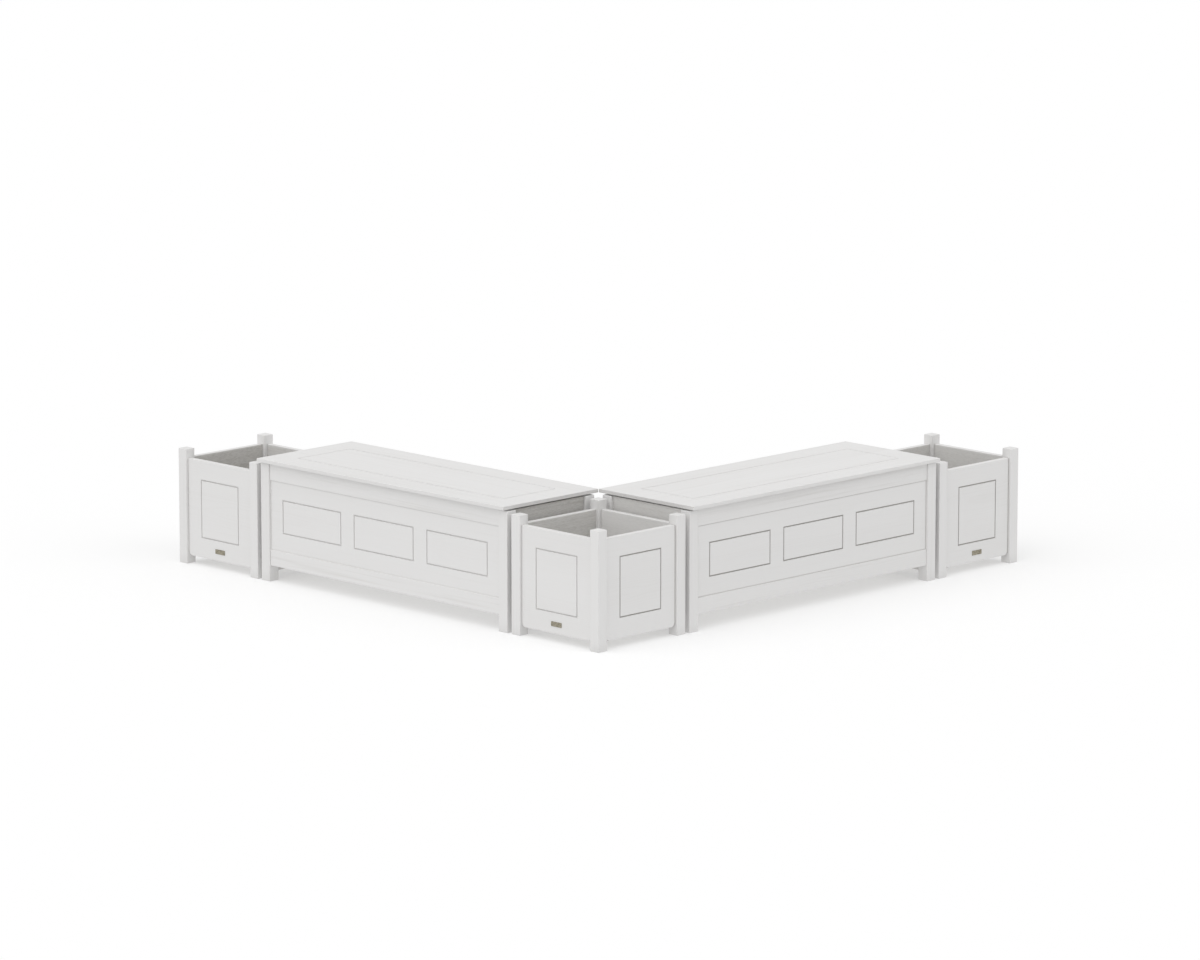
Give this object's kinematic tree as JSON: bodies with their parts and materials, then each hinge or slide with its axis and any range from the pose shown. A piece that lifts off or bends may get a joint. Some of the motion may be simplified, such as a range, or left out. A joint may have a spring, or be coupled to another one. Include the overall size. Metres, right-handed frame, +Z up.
{
  "type": "corner bench set with planters",
  "caption": "L-shaped garden set of square planters and long storage benches with hinged lids, in white painted wood",
  "frame": {"origin": "centre of the whole set's footprint, at floor level", "axes": "+X along the right bench away from the corner planter, +Y along the left bench away from it, +Z up; the set's outer corner points to -X and -Y"},
  "size_m": [2.302, 2.302, 0.474],
  "materials": {
    "painted_wood": "satin white paint over brushed grain",
    "plate_metal": "dull aged brass",
    "hinge_steel": "zinc plated"
  },
  "bodies": {
    "stand": {"corner_planter_post_1": "painted_wood", "corner_planter_post_2": "painted_wood", "corner_planter_post_3": "painted_wood", "corner_planter_post_4": "painted_wood", "corner_planter_panel_1": "painted_wood", "corner_planter_panel_2": "painted_wood", "corner_planter_panel_3": "painted_wood", "corner_planter_panel_4": "painted_wood", "corner_planter_floor": "painted_wood", "corner_planter_plate": "plate_metal", "left_planter_post_1": "painted_wood", "left_planter_post_2": "painted_wood", "left_planter_post_3": "painted_wood", "left_planter_post_4": "painted_wood", "left_planter_panel_1": "painted_wood", "left_planter_panel_2": "painted_wood", "left_planter_panel_3": "painted_wood", "left_planter_panel_4": "painted_wood", "left_planter_floor": "painted_wood", "left_planter_plate": "plate_metal", "right_planter_post_1": "painted_wood", "right_planter_post_2": "painted_wood", "right_planter_post_3": "painted_wood", "right_planter_post_4": "painted_wood", "right_planter_panel_1": "painted_wood", "right_planter_panel_2": "painted_wood", "right_planter_panel_3": "painted_wood", "right_planter_panel_4": "painted_wood", "right_planter_floor": "painted_wood", "right_planter_plate": "plate_metal", "left_bench_leg_1": "painted_wood", "left_bench_leg_2": "painted_wood", "left_bench_leg_3": "painted_wood", "left_bench_leg_4": "painted_wood", "left_bench_front_top_rail": "painted_wood", "left_bench_front_panel": "painted_wood", "left_bench_front_bottom_rail": "painted_wood", "left_bench_back_panel": "painted_wood", "left_bench_end_panel_1": "painted_wood", "left_bench_end_panel_2": "painted_wood", "left_bench_floor": "painted_wood", "left_bench_hinge_frame_leaf": "hinge_steel", "left_bench_hinge_pin": "hinge_steel", "right_bench_leg_1": "painted_wood", "right_bench_leg_2": "painted_wood", "right_bench_leg_3": "painted_wood", "right_bench_leg_4": "painted_wood", "right_bench_front_top_rail": "painted_wood", "right_bench_front_panel": "painted_wood", "right_bench_front_bottom_rail": "painted_wood", "right_bench_back_panel": "painted_wood", "right_bench_end_panel_1": "painted_wood", "right_bench_end_panel_2": "painted_wood", "right_bench_floor": "painted_wood", "right_bench_hinge_frame_leaf": "hinge_steel", "right_bench_hinge_pin": "hinge_steel"},
    "left_lid": {"left_bench_lid": "painted_wood", "left_bench_hinge_lid_leaf": "hinge_steel"},
    "right_lid": {"right_bench_lid": "painted_wood", "right_bench_hinge_lid_leaf": "hinge_steel"}
  },
  "joints": [
    {"name": "left_lid_hinge", "type": "hinge", "parent": "stand", "child": "left_lid", "pos_m": [-0.6781, 0.01, 0.4571], "axis": [0, 1, 0], "range_deg": [0, 90]},
    {"name": "right_lid_hinge", "type": "hinge", "parent": "stand", "child": "right_lid", "pos_m": [0.01, -0.6781, 0.4571], "axis": [-1, 0, 0], "range_deg": [0, 90]}
  ]
}
